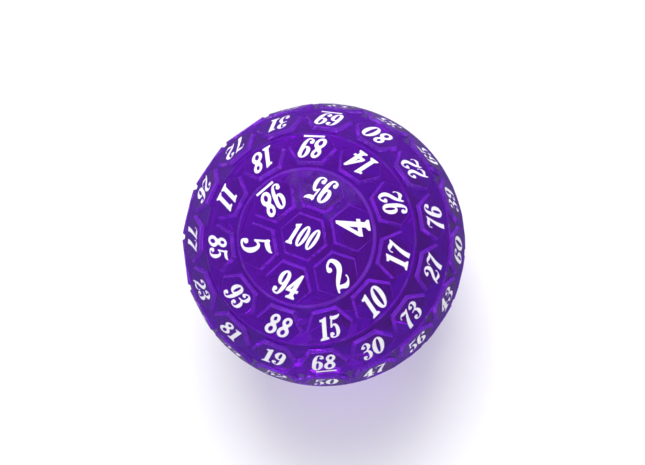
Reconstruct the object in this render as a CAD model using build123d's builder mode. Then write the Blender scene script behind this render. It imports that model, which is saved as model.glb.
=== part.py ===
from build123d import *
import os
from math import atan2, cos, degrees, hypot, radians, sin, sqrt, tan

# A hundred-sided die: a moulded acrylic ball with fifty flat six-sided facets on each half.
# The origin is the centre of the die. +Z leaves through the facet numbered 100, and +X passes
# over the first facet of ring 1. Opposite facets are parallel and their numbers add to 101.
# All sizes are in millimetres and degrees.

os.makedirs("parts", exist_ok=True)

# Overall size and facets
across_corners = 45.0
facet_side = 3.55
facet_distance = sqrt((across_corners / 2) ** 2 - facet_side**2)
facet_root = 0.92
facet_draft = 22.0
facet_round = 0.12

# Terraces: each ring of facets stands on its own sloping step, cut deepest on the poleward side
pole_sink = 0.8
terrace_sink = 0.3
terrace_tilt = [5.0, 5.0, 5.0, 4.0]
step_radius = [10.45, 16.3, 20.9]
step_run = [0.45, 0.25, 0.1]
step_ledge = 0.03

# Joint between the two halves: a keyed spigot, so that they can only be cemented one way round
spigot_radius = 12.0
spigot_height = 2.5
spigot_gap = 0.05
key_width = 4.0
key_height = 1.5

# Moulding gate mark on one facet of ring 1
gate_tile = 4
gate_diameter = 2.0
gate_depth = 0.08
gate_offset = (-2.45, -0.65)

# Numerals: pockets filled with white paint that stops just short of the facet
pocket_depth = 0.3
paint_gap = 0.05
slant = 12.5
stem = 0.16
thin_stroke = 0.09
foot = 0.07
dot = 0.08
breadth = [1.12, 0.77, 0.92, 0.9, 1.06, 0.87, 0.97, 0.98, 1.0, 0.97]
single = {"height": 5.2, "wide": 0.5}
double = {"height": 4.3, "wide": 0.42}
triple = {"height": 3.5, "wide": 0.37}
digit_gap = 0.18
bar_width = 3.3
bar_thickness = 0.42
bar_gap = 0.2
underlined_rise = 0.25
underlined = {6, 9, 66, 68, 69, 86, 89, 96, 98, 99}

# Rings of the upper half: polar angle, azimuth of the first facet, numbers clockwise from above
rings = [
    (0.0, 0.0, [100]),
    (20.3, 0.0, [95, 4, 2, 94, 5, 98]),
    (39.8, 17.3, [89, 14, 92, 17, 10, 15, 88, 93, 85, 11, 18]),
    (60.0, 12.7, [69, 80, 22, 76, 27, 73, 30, 68, 19, 81, 23, 77, 26, 72, 31]),
    (80.5, -9.7, [35, 65, 39, 60, 43, 56, 47, 50, 52, 34, 64, 38, 61, 42, 57, 46, 53]),
]


def facet_plane(ring, index, lower=False):
    """The plane of one facet: its Y axis points to the pole of its own half."""
    polar, first, numbers = rings[ring]
    polar = radians(polar)
    azimuth = radians(first - index * 360 / len(numbers))
    out = Vector(sin(polar) * cos(azimuth), sin(polar) * sin(azimuth), cos(polar))
    up = Vector(-cos(polar) * cos(azimuth), -cos(polar) * sin(azimuth), sin(polar))
    if ring == 0:
        up = Vector(1, 0, 0)
    if lower:
        out, up = -out, -up
    return Plane(origin=out * facet_distance, x_dir=up.cross(out), z_dir=out)


# ---------------------------------------------------------------- numerals
# A digit is drawn one unit high and "wide" units wide, as an upright bold serif figure made of
# ovals, ribbons and blocks. lean() turns it into an italic. "breadth" makes each digit from 0
# to 9 narrower or broader than the others.


def lean(x, y):
    return (x + y * tan(radians(slant)), y)


def oval(x, y, radius_x, radius_y):
    """An upright ellipse after leaning, which is again an ellipse, turned and stretched."""
    sheared = radius_y * tan(radians(slant))
    total = radius_x**2 + sheared**2 + radius_y**2
    spread = hypot(radius_x**2 + sheared**2 - radius_y**2, 2 * sheared * radius_y)
    turn = atan2(2 * sheared * radius_y, radius_x**2 + sheared**2 - radius_y**2) / 2
    with BuildSketch() as shape:
        with Locations(lean(x, y)):
            Ellipse(sqrt((total + spread) / 2), sqrt((total - spread) / 2), rotation=degrees(turn))
    return shape.sketch


def ball(x, y):
    with BuildSketch() as shape:
        with Locations(lean(x, y)):
            Circle(dot)
    return shape.sketch


def ribbon(*spine):
    """A curved stroke through (x, y, width) points."""
    one_side, other_side = [], []
    for i, (x, y, width) in enumerate(spine):
        before = spine[max(i - 1, 0)]
        after = spine[min(i + 1, len(spine) - 1)]
        run, rise = after[0] - before[0], after[1] - before[1]
        half = width / 2 / hypot(run, rise)
        one_side.append(lean(x - rise * half, y + run * half))
        other_side.append(lean(x + rise * half, y - run * half))
    with BuildSketch() as shape:
        with BuildLine():
            Spline(*one_side)
            Line(one_side[-1], other_side[-1])
            Spline(*other_side)
            Line(other_side[0], one_side[0])
        make_face()
    return shape.sketch


def block(*corners):
    with BuildSketch() as shape:
        Polygon(*[lean(x, y) for x, y in corners], align=None)
    return shape.sketch


def digit(value, wide):
    """The outline of a digit from 0 to 8; a 9 is a 6 turned upside down."""
    bowl = 0.035 + 0.28 * wide
    left = bowl / 2
    right = wide - left
    mid = wide / 2
    shapes, holes = [], []
    if value == 0:
        shapes = [oval(mid, 0.5, mid, 0.5)]
        holes = [oval(mid, 0.5, mid - bowl, 0.5 - thin_stroke)]
    if value == 1:
        edge = mid + stem / 2
        flag = [(edge - 0.04, 1), (edge - stem, 0.94), (0, 0.93), (0, 0.83), (edge - stem, 0.81)]
        shapes = [
            block((edge - stem, 0), (edge, 0), (edge, 1), *flag),
            block((0, 0), (wide, 0), (wide, foot), (edge, 2 * foot), (edge - stem, 2 * foot), (0, foot)),
        ]
    if value == 2:
        shapes = [
            ribbon(
                (0.06, 0.74, 0.1),
                (0.075, 0.87, 0.08),
                (mid, 0.955, 0.09),
                (right, 0.74, bowl),
                (mid, 0.42, 0.16),
                (0.06, 0.18, 0.09),
                (0.02, 0.02, 0.05),
            ),
            ball(dot, 0.75),
            ribbon(
                (0.01, 0.06, 0.03),
                (0.6 * mid, 0.15, 0.12),
                (1.3 * mid, 0.075, 0.15),
                (wide - 0.05, 0.13, 0.09),
                (wide - 0.01, 0.33, 0.04),
            ),
        ]
    if value == 3:
        shapes = [
            ribbon(
                (0.06, 0.77, 0.1),
                (0.08, 0.9, 0.07),
                (mid, 0.962, 0.076),
                (right - 0.015, 0.77, bowl),
                (mid + 0.03, 0.57, 0.09),
                (0.04, 0.515, 0.06),
            ),
            ball(dot, 0.78),
            ribbon(
                (0.04, 0.515, 0.06),
                (mid + 0.03, 0.5, 0.09),
                (right, 0.28, bowl),
                (mid, 0.04, 0.08),
                (0.08, 0.08, 0.07),
                (0.06, 0.2, 0.1),
            ),
            ball(dot, 0.21),
        ]
    if value == 4:
        edge = wide - 0.09
        shapes = [
            block((edge - stem, 0), (edge, 0), (edge, 1), (edge - 0.05, 1), (edge - stem, 0.8)),
            block((edge, 1), (edge - 0.09, 1), (0, 0.38), (0.12, 0.34), (edge - 0.1, 0.75)),
            block((0, 0.26), (wide, 0.26), (wide, 0.38), (0, 0.38)),
            block(
                (edge - stem - 0.08, 0),
                (wide - 0.01, 0),
                (wide - 0.01, foot),
                (edge, 2 * foot),
                (edge - stem, 2 * foot),
                (edge - stem - 0.09, foot),
            ),
        ]
    if value == 5:
        shapes = [
            ribbon(
                (0.05, 1.0, 0.03),
                (0.1, 0.9, 0.15),
                (1.2 * mid, 0.89, 0.17),
                (wide - 0.04, 0.94, 0.09),
                (wide - 0.01, 1.0, 0.03),
            ),
            block((0.045, 0.95), (0.115, 0.95), (0.085, 0.48), (0.025, 0.48)),
            ribbon(
                (0.055, 0.49, 0.06),
                (mid, 0.585, 0.1),
                (right, 0.33, bowl),
                (mid, 0.045, 0.09),
                (0.08, 0.07, 0.08),
                (0.055, 0.2, 0.1),
            ),
            ball(dot, 0.2),
        ]
    if value == 6:
        shapes = [
            ribbon(
                (wide - 0.06, 0.78, 0.1),
                (wide - 0.07, 0.9, 0.08),
                (mid + 0.02, 0.962, 0.076),
                (left + 0.03, 0.8, 0.9 * bowl),
                (left, 0.55, bowl),
                (left, 0.3, bowl),
            ),
            ball(wide - dot, 0.79),
            oval(mid, 0.3, mid, 0.3),
        ]
        holes = [oval(mid, 0.3, mid - bowl, 0.3 - thin_stroke)]
    if value == 7:
        shapes = [
            ribbon(
                (0.02, 0.72, 0.03),
                (0.05, 0.88, 0.08),
                (0.7 * mid, 0.905, 0.16),
                (1.3 * mid, 0.875, 0.15),
                (wide - 0.03, 0.97, 0.04),
            ),
            ribbon(
                (wide - 0.04, 0.96, 0.05),
                (mid + 0.07, 0.68, 0.11),
                (mid - 0.01, 0.38, 0.15),
                (mid - 0.04, 0.0, 0.18),
            ),
        ]
    if value == 8:
        shapes = [
            oval(mid, 0.755, 0.83 * mid, 0.245),
            oval(mid, 0.265, mid, 0.265),
            block((mid - 0.11, 0.44), (mid + 0.11, 0.44), (mid + 0.11, 0.6), (mid - 0.11, 0.6)),
        ]
        holes = [
            oval(mid, 0.765, 0.83 * mid - 0.75 * bowl, 0.1),
            oval(mid, 0.245, mid - 0.85 * bowl, 0.125),
        ]
    with BuildSketch() as figure:
        add(shapes)
        if holes:
            add(holes, mode=Mode.SUBTRACT)
    return figure.sketch


styles = {1: single, 2: double, 3: triple}
digits = {
    length: [scale(digit(i, breadth[i] * style["wide"]), by=style["height"]) for i in range(9)]
    for length, style in styles.items()
}


def number_outline(number, plane):
    """The figures of one number, centred on the plane, with a bar under the ambiguous ones."""
    text = str(number)
    height = styles[len(text)]["height"]
    widths = [styles[len(text)]["wide"] * height * breadth[int(character)] for character in text]
    overhang = height * tan(radians(slant))
    rise = underlined_rise if number in underlined else 0
    x, y = 0, rise - height / 2
    with BuildSketch() as figures:
        for character, width in zip(text, widths):
            if character == "9":
                with Locations(Location((x + width + overhang, y + height), 180)):
                    add(digits[len(text)][6])
            else:
                with Locations((x, y)):
                    add(digits[len(text)][int(character)])
            x += width + digit_gap
    with BuildSketch(plane) as outline:
        with Locations((-figures.sketch.bounding_box().center().X, 0)):
            add(figures.sketch)
        if number in underlined:
            with Locations((0, rise - height / 2 - bar_gap - bar_thickness / 2)):
                Rectangle(bar_width, bar_thickness)
    return outline.sketch


def number_solids(ring, lower, thickness):
    """All numbers of one ring, as solids that rise from the floor of their pockets."""
    with BuildPart() as figures:
        for index, number in enumerate(rings[ring][2]):
            plane = facet_plane(ring, index, lower).offset(-pocket_depth)
            value = 101 - number if lower else number
            extrude(number_outline(value, plane), amount=thickness, dir=plane.z_dir)
    return figures.part


# ---------------------------------------------------------------- faceted half ball


def floor_height(ring, radius):
    """Height of a terrace floor above the parting plane, at a distance from the Z axis."""
    polar = radians(rings[ring][0])
    slope = tan(polar - radians(terrace_tilt[ring - 1]))
    sunk = facet_distance - terrace_sink
    return sunk * cos(polar) - (radius - sunk * sin(polar)) * slope


def step_corners(step):
    """Top and foot of the wall between two terraces, as (radius, height) points."""
    top = step_radius[step]
    base = top + step_run[step]
    return (top, floor_height(step + 1, top)), (base, floor_height(step + 2, base))


pole_floor = facet_distance - pole_sink
pole_radius = (floor_height(1, 0) - pole_floor) / (floor_height(1, 0) - floor_height(1, 1))
profile = [(0, 0), (0, pole_floor), (pole_radius, pole_floor)]
for step in range(3):
    profile += step_corners(step)
rim_radius = floor_height(4, 0) / (floor_height(4, 0) - floor_height(4, 1))
profile.append((rim_radius, 0))


def ring_tiles(ring_numbers, lower, step=None):
    """Raised facets of some rings, with rounded rims, trimmed at the edge of the next step."""
    root_side = facet_side + facet_root * tan(radians(facet_draft)) * 2 / sqrt(3)
    with BuildPart() as tiles:
        for ring in ring_numbers:
            for index in range(len(rings[ring][2])):
                plane = facet_plane(ring, index, lower)
                with BuildPart() as tile:
                    with BuildSketch(plane) as face:
                        RegularPolygon(facet_side, 6)
                    with BuildSketch(plane.offset(-facet_root)) as root:
                        RegularPolygon(root_side, 6)
                    loft([face.sketch, root.sketch])
                    rim = tile.faces().sort_by(Axis(plane.origin, plane.z_dir))[-1].edges()
                    fillet(rim, facet_round)
                add(tile.part)
        if step is not None:
            Cylinder(step_radius[step] - step_ledge, across_corners, mode=Mode.INTERSECT)
    return tiles.part


def faceted_half(lower):
    """One half ball, flat at the parting plane, with its terraces and raised facets."""
    side = -1 if lower else 1
    with BuildPart() as half:
        with BuildSketch(Plane.XZ) as section:
            Polygon(*[(radius, side * height) for radius, height in profile], align=None)
        revolve(section.sketch, Axis.Z)
        add(ring_tiles([0, 1], lower, 0))
        add(ring_tiles([2], lower, 1))
        add(ring_tiles([3], lower, 2))
        add(ring_tiles([4], lower))
        split(bisect_by=Plane.XY, keep=Keep.BOTTOM if lower else Keep.TOP)
    return half.part


with BuildPart() as upper_half:
    add(faceted_half(lower=False))
    Cylinder(
        spigot_radius - spigot_gap,
        spigot_height - spigot_gap,
        align=(Align.CENTER, Align.CENTER, Align.MAX),
    )
    with Locations((spigot_radius, 0, 0)):
        Box(
            key_width + spigot_gap,
            key_width + 2 * spigot_gap,
            spigot_height,
            align=(Align.CENTER, Align.CENTER, Align.MAX),
            mode=Mode.SUBTRACT,
        )
    with BuildSketch(facet_plane(1, gate_tile).offset(-gate_depth)):
        with Locations(gate_offset):
            Circle(gate_diameter / 2)
    extrude(amount=2 * gate_depth, mode=Mode.SUBTRACT)
    for ring in range(len(rings)):
        add(number_solids(ring, False, 2 * pocket_depth), mode=Mode.SUBTRACT)
upper_half.part.label = "upper_half"
export_step(upper_half.part, "parts/upper_half.step")

with BuildPart() as lower_half:
    add(faceted_half(lower=True))
    Cylinder(
        spigot_radius,
        spigot_height,
        align=(Align.CENTER, Align.CENTER, Align.MAX),
        mode=Mode.SUBTRACT,
    )
    with Locations((spigot_radius, 0, -spigot_height)):
        Box(key_width, key_width, key_height, align=(Align.CENTER, Align.CENTER, Align.MIN))
    for ring in range(len(rings)):
        add(number_solids(ring, True, 2 * pocket_depth), mode=Mode.SUBTRACT)
lower_half.part.label = "lower_half"
export_step(lower_half.part, "parts/lower_half.step")

for half, lower in (("upper", False), ("lower", True)):
    for ring in range(len(rings)):
        with BuildPart() as paint:
            add(number_solids(ring, lower, pocket_depth - paint_gap))
        place = "pole" if ring == 0 else f"ring_{ring}"
        paint.part.label = f"{half}_{place}_numbers"
        export_step(paint.part, f"parts/{paint.part.label}.step")
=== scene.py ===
from math import radians

import bmesh
import bpy
from mathutils import Matrix, Vector


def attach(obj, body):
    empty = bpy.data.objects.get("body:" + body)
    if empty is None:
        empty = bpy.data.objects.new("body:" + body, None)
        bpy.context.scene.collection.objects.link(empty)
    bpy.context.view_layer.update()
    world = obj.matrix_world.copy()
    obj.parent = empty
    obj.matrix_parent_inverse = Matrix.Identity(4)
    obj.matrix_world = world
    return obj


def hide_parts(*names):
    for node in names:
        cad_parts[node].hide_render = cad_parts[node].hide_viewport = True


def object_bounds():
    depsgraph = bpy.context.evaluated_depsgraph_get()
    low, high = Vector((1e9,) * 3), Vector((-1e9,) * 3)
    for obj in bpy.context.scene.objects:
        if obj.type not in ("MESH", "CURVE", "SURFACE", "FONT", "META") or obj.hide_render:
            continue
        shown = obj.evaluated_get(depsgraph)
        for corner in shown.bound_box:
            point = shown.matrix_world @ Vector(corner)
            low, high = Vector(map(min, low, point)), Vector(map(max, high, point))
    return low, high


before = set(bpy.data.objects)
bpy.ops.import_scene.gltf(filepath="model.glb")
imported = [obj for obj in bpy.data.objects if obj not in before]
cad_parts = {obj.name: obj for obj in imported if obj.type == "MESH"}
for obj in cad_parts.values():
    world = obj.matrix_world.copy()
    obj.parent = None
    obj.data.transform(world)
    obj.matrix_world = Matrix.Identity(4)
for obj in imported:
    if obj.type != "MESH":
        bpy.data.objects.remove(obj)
cad_low, cad_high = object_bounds()
MM = 0.001

# ------------------------------------------------------------------ camera
# The die is seen from almost straight above its facet 100, leaning a little away.
CAMERA_RIGHT = Vector((0.3379, -0.9303, -0.1429)).normalized()
CAMERA_BACK = Vector((-0.0077, -0.1545, 0.9880)).normalized()
CAMERA_UP = CAMERA_BACK.cross(CAMERA_RIGHT)
CAMERA_DISTANCE = 0.625
LENS = 219.6
SENSOR = 36.0
AIM_RIGHT, AIM_UP = -0.00022, 0.00194
CLIP_NEAR, CLIP_FAR = 0.05, 20.0


def add_object(name, data):
    item = bpy.data.objects.new(name, data)
    bpy.context.scene.collection.objects.link(item)
    return item


def mesh_object(name, shell, material):
    mesh = bpy.data.meshes.new(name)
    shell.to_mesh(mesh)
    mesh.materials.append(material)
    return add_object(name, mesh)


def place_camera():
    data = bpy.data.cameras.new("camera")
    data.lens, data.sensor_width = LENS, SENSOR
    data.sensor_fit = "HORIZONTAL"
    data.clip_start, data.clip_end = CLIP_NEAR, CLIP_FAR
    camera = add_object("camera", data)
    view = Matrix((CAMERA_RIGHT, CAMERA_UP, CAMERA_BACK)).transposed().to_4x4()
    place = CAMERA_BACK * CAMERA_DISTANCE + CAMERA_RIGHT * AIM_RIGHT
    view.translation = place + CAMERA_UP * AIM_UP
    camera.matrix_world = view
    bpy.context.scene.camera = camera


# ------------------------------------------------------------------ materials
def new_material(name):
    """A material with nodes, its node tree and its Principled shader."""
    material = bpy.data.materials.new(name)
    material.use_nodes = True
    tree = material.node_tree
    return material, tree, tree.nodes["Principled BSDF"]


def noise(tree, scale, detail, stretch=(1, 1, 1), distortion=0.0):
    """A noise texture in object space; scale is in patches per metre."""
    coords = tree.nodes.new("ShaderNodeTexCoord")
    mapping = tree.nodes.new("ShaderNodeMapping")
    mapping.inputs["Scale"].default_value = stretch
    texture = tree.nodes.new("ShaderNodeTexNoise")
    texture.inputs["Scale"].default_value = scale
    texture.inputs["Detail"].default_value = detail
    texture.inputs["Distortion"].default_value = distortion
    tree.links.new(coords.outputs["Object"], mapping.inputs["Vector"])
    tree.links.new(mapping.outputs["Vector"], texture.inputs["Vector"])
    return texture.outputs["Fac"]


def spread(tree, source, low, high, start=0.3, stop=0.7):
    """A value that runs from low to high as the source runs from start to stop."""
    node = tree.nodes.new("ShaderNodeMapRange")
    node.inputs["From Min"].default_value = start
    node.inputs["From Max"].default_value = stop
    node.inputs["To Min"].default_value = low
    node.inputs["To Max"].default_value = high
    tree.links.new(source, node.inputs["Value"])
    return node.outputs["Result"]


def blend(tree, factor, first, second):
    """A mix of two colours; the factor is a socket, and a colour may be one."""
    node = tree.nodes.new("ShaderNodeMix")
    node.data_type = "RGBA"
    for name, value in (("Factor", factor), ("A", first), ("B", second)):
        socket = next(i for i in node.inputs if i.name == name and i.enabled)
        if isinstance(value, bpy.types.NodeSocket):
            tree.links.new(value, socket)
        else:
            socket.default_value = (*value, 1)
    return next(o for o in node.outputs if o.enabled)


def bump(tree, shader, height, distance):
    node = tree.nodes.new("ShaderNodeBump")
    node.inputs["Strength"].default_value = 1.0
    node.inputs["Distance"].default_value = distance
    tree.links.new(height, node.inputs["Height"])
    tree.links.new(node.outputs["Normal"], shader.inputs["Normal"])


# Dyed acrylic: deep violet on the facets and terraces. Slopes get a lighter violet and rounded
# rims a lavender, painted into the base colour as glow and highlight where light would come out
# after a short way through the dye.
# The tint follows how squarely the surface faces outward, from 0 edge on to 1 straight out.
FLAT_VIOLET = (0.18, 0.002, 0.53)
# Painted glow: a lighter violet for walls and slopes. It stands in for light let through the
# thin acrylic.
SLOPE_PAINTED_GLOW_VIOLET = (0.3, 0.015, 0.85)
# Painted highlight: lavender on the rounded rims. It stands in for reflections on the fillets.
RIM_PAINTED_HIGHLIGHT_VIOLET = (0.44, 0.12, 0.97)
DEEP_VIOLET = (0.09, 0.001, 0.32)
# Ramp stops: painted glow on walls and slopes, painted highlight on rims, the acrylic's own
# deep violet on flat faces.
PAINTED_LIGHT_STOPS = (
    (0.0, SLOPE_PAINTED_GLOW_VIOLET),
    (0.45, SLOPE_PAINTED_GLOW_VIOLET),
    (0.6, RIM_PAINTED_HIGHLIGHT_VIOLET),
    (0.84, RIM_PAINTED_HIGHLIGHT_VIOLET),
    (0.88, SLOPE_PAINTED_GLOW_VIOLET),
    (0.955, SLOPE_PAINTED_GLOW_VIOLET),
    (0.97, FLAT_VIOLET),
)
SWIRL = {"scale": 90.0, "detail": 4.0, "stretch": (1, 1, 1.6), "distortion": 1.2}
SWIRL_SHARE = 0.4
HAZE = {"scale": 700.0, "detail": 2.0}
HAZE_ROUGHNESS = (0.03, 0.08)
SCUFFS = {"scale": 1500.0, "detail": 2.0, "stretch": (1, 0.12, 0.3)}
SCUFF_DEPTH = 0.002 * MM
ACRYLIC_IOR = 1.49
ACRYLIC_SPECULAR = 0.4
ACRYLIC_CLEARNESS = 0.7
DYE_COLOUR = (0.85, 0.1, 0.95, 1)
DYE_DENSITY = 10.0


# Painted light: the base colour is made lighter on slopes and rims by how the surface faces, as
# glow and highlights.
def painted_light_by_facing(tree):
    coords = tree.nodes.new("ShaderNodeTexCoord")
    geometry = tree.nodes.new("ShaderNodeNewGeometry")
    radial = tree.nodes.new("ShaderNodeVectorMath")
    radial.operation = "NORMALIZE"
    outward = tree.nodes.new("ShaderNodeVectorMath")
    outward.operation = "DOT_PRODUCT"
    painted_light_ramp = tree.nodes.new("ShaderNodeValToRGB")
    tree.links.new(coords.outputs["Object"], radial.inputs[0])
    tree.links.new(radial.outputs[0], outward.inputs[0])
    tree.links.new(geometry.outputs["True Normal"], outward.inputs[1])
    tree.links.new(outward.outputs["Value"], painted_light_ramp.inputs["Fac"])
    stops = painted_light_ramp.color_ramp.elements
    while len(stops) < len(PAINTED_LIGHT_STOPS):
        stops.new(0.5)
    for stop, (place, colour) in zip(stops, PAINTED_LIGHT_STOPS):
        stop.position, stop.color = place, (*colour, 1)
    return painted_light_ramp.outputs["Color"]


def acrylic_material():
    material, tree, shader = new_material("purple_acrylic")
    swirl = spread(tree, noise(tree, **SWIRL), 0.0, SWIRL_SHARE)
    # The base colour mixes the painted glow and highlight with random darker swirls of dye.
    dye_and_painted_light = blend(tree, swirl, painted_light_by_facing(tree), DEEP_VIOLET)
    tree.links.new(dye_and_painted_light, shader.inputs["Base Color"])
    haze = spread(tree, noise(tree, **HAZE), *HAZE_ROUGHNESS)
    tree.links.new(haze, shader.inputs["Roughness"])
    shader.inputs["IOR"].default_value = ACRYLIC_IOR
    shader.inputs["Specular IOR Level"].default_value = ACRYLIC_SPECULAR
    shader.inputs["Transmission Weight"].default_value = ACRYLIC_CLEARNESS
    bump(tree, shader, noise(tree, **SCUFFS), SCUFF_DEPTH)
    absorb = tree.nodes.new("ShaderNodeVolumeAbsorption")
    absorb.inputs["Color"].default_value = DYE_COLOUR
    absorb.inputs["Density"].default_value = DYE_DENSITY
    output = tree.nodes["Material Output"]
    tree.links.new(absorb.outputs["Volume"], output.inputs["Volume"])
    return material


# Paint wiped into the numerals: a little grey where it is thin, with a fine grain.
PAINT_WHITE = (0.93, 0.93, 0.95)
PAINT_THIN = (0.82, 0.81, 0.88)
PATCHES = {"scale": 450.0, "detail": 3.0}
GRAIN = {"scale": 4000.0, "detail": 2.0}
GRAIN_ROUGHNESS = (0.4, 0.6)
GRAIN_DEPTH = 0.01 * MM


def paint_material():
    material, tree, shader = new_material("white_paint")
    thin = spread(tree, noise(tree, **PATCHES), 0.0, 1.0)
    paint = blend(tree, thin, PAINT_WHITE, PAINT_THIN)
    tree.links.new(paint, shader.inputs["Base Color"])
    grain = noise(tree, **GRAIN)
    tree.links.new(spread(tree, grain, *GRAIN_ROUGHNESS), shader.inputs["Roughness"])
    bump(tree, shader, grain, GRAIN_DEPTH)
    return material


# ------------------------------------------------------------------ acrylic ball
SEAM_HALF_WIDTH = 0.04 * MM
SEAM_DEPTH = 0.07 * MM
INSIDE = 21.0 * MM
SHARP_ANGLE = radians(9)
WELD = 1e-7
ON_PLANE = 1e-6
PARTING_BAND = 0.01 * MM
LEVEL = 0.999


def is_inner(face):
    """True for the parting face and for the walls of the spigot or the socket."""
    if all(v.co.length < INSIDE for v in face.verts):
        return True
    return abs(face.normal.z) > LEVEL and abs(face.calc_center_median().z) < PARTING_BAND


def outer_skin(shell, node, side):
    """Adds the outside of one half to the shell and returns the edges of its open lip.

    The rim is pulled back from the parting plane and turned inward, as one lip of the seam."""
    old = set(shell.verts)
    shell.from_mesh(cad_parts[node].data)
    verts = [v for v in shell.verts if v not in old]
    bmesh.ops.remove_doubles(shell, verts=verts, dist=WELD)
    inner = [f for f in shell.faces if f.verts[0] not in old and is_inner(f)]
    bmesh.ops.delete(shell, geom=inner, context="FACES")
    rim = [e for e in shell.edges
           if e.is_boundary and e.verts[0].co.z * side < ON_PLANE and e.verts[0] not in old]
    for vert in {v for e in rim for v in e.verts}:
        vert.co.z = side * SEAM_HALF_WIDTH
    lip = bmesh.ops.extrude_edge_only(shell, edges=rim)["geom"]
    for vert in (g for g in lip if isinstance(g, bmesh.types.BMVert)):
        reach = vert.co.xy.length
        vert.co.xy *= (reach - SEAM_DEPTH) / reach
        vert.co.z = side * SEAM_HALF_WIDTH / 4
    return [g for g in lip if isinstance(g, bmesh.types.BMEdge)]


def acrylic_ball():
    """Both halves as they look once cemented: one clear body with a fine seam at its middle."""
    shell = bmesh.new()
    lips = []
    for node, side in (("upper_half", 1), ("lower_half", -1)):
        lips += outer_skin(shell, node, side)
    lips = [e for e in lips if e.is_valid and e.is_boundary]
    bmesh.ops.bridge_loops(shell, edges=lips)
    bmesh.ops.recalc_face_normals(shell, faces=shell.faces)
    for face in shell.faces:
        face.smooth = True
    for edge in shell.edges:
        edge.smooth = edge.is_manifold and edge.calc_face_angle() < SHARP_ANGLE
    ball = mesh_object("acrylic_ball", shell, acrylic_material())
    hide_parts("upper_half", "lower_half")
    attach(ball, "root")
    ball.visible_shadow = False


def paint_numbers():
    paint = paint_material()
    for name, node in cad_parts.items():
        if name.endswith("numbers"):
            node.data.materials.clear()
            node.data.materials.append(paint)


# ------------------------------------------------------------------ stage
FLOOR_COLOUR = (0.92, 0.92, 0.93, 1)
FLOOR_ROUGHNESS = 0.8
FLOOR_SIZE = 2.0
SHADE_RADIUS = 20.5 * MM
SHADE_COLOUR = (0.1, 0.04, 0.25, 1)
ROOM_LIGHT = 0.55
ROOM_REFLECTION = 0.19
LAMP_SIZE = 0.5
LAMPS = (
    ("key", 6.2, CAMERA_UP * 0.5 + Vector((0, 0, 0.6))),
    ("fill", 1.8, CAMERA_UP * -0.6 + Vector((0, 0, 0.45))),
)


def build_floor():
    material, _, shader = new_material("floor")
    shader.inputs["Base Color"].default_value = FLOOR_COLOUR
    shader.inputs["Roughness"].default_value = FLOOR_ROUGHNESS
    shell = bmesh.new()
    bmesh.ops.create_grid(shell, x_segments=2, y_segments=2, size=FLOOR_SIZE)
    bmesh.ops.translate(shell, verts=shell.verts, vec=(0, 0, cad_low.z))
    floor = mesh_object("floor", shell, material)
    floor.visible_glossy = False


def build_shade():
    """Stands in for the clear ball towards the lamps only: its shadow is soft and violet."""
    material, tree, _ = new_material("shade")
    clear = tree.nodes.new("ShaderNodeBsdfTransparent")
    clear.inputs["Color"].default_value = SHADE_COLOUR
    output = tree.nodes["Material Output"]
    tree.links.new(clear.outputs["BSDF"], output.inputs["Surface"])
    shell = bmesh.new()
    bmesh.ops.create_uvsphere(shell, u_segments=64, v_segments=32, radius=SHADE_RADIUS)
    shade = mesh_object("shade", shell, material)
    shade.visible_camera = shade.visible_diffuse = shade.visible_glossy = False
    shade.visible_transmission = shade.visible_volume_scatter = False


def build_light():
    """Two soft lamps, and an even white room that is dim in reflections."""
    world = bpy.data.worlds.new("studio")
    world.use_nodes = True
    tree = world.node_tree
    background = tree.nodes["Background"]
    background.inputs["Color"].default_value = (1, 1, 1, 1)
    path = tree.nodes.new("ShaderNodeLightPath")
    glossy = path.outputs["Is Glossy Ray"]
    level = spread(tree, glossy, ROOM_LIGHT, ROOM_REFLECTION, start=0.0, stop=1.0)
    tree.links.new(level, background.inputs["Strength"])
    bpy.context.scene.world = world
    for name, power, place in LAMPS:
        light = bpy.data.lights.new(name, "AREA")
        light.energy, light.size = power, LAMP_SIZE
        lamp = add_object(name, light)
        lamp.visible_glossy = False
        lamp.location = place
        lamp.rotation_euler = (-place).to_track_quat("-Z", "Y").to_euler()


place_camera()
acrylic_ball()
paint_numbers()
build_floor()
build_shade()
build_light()
bpy.context.scene.view_settings.view_transform = "Standard"
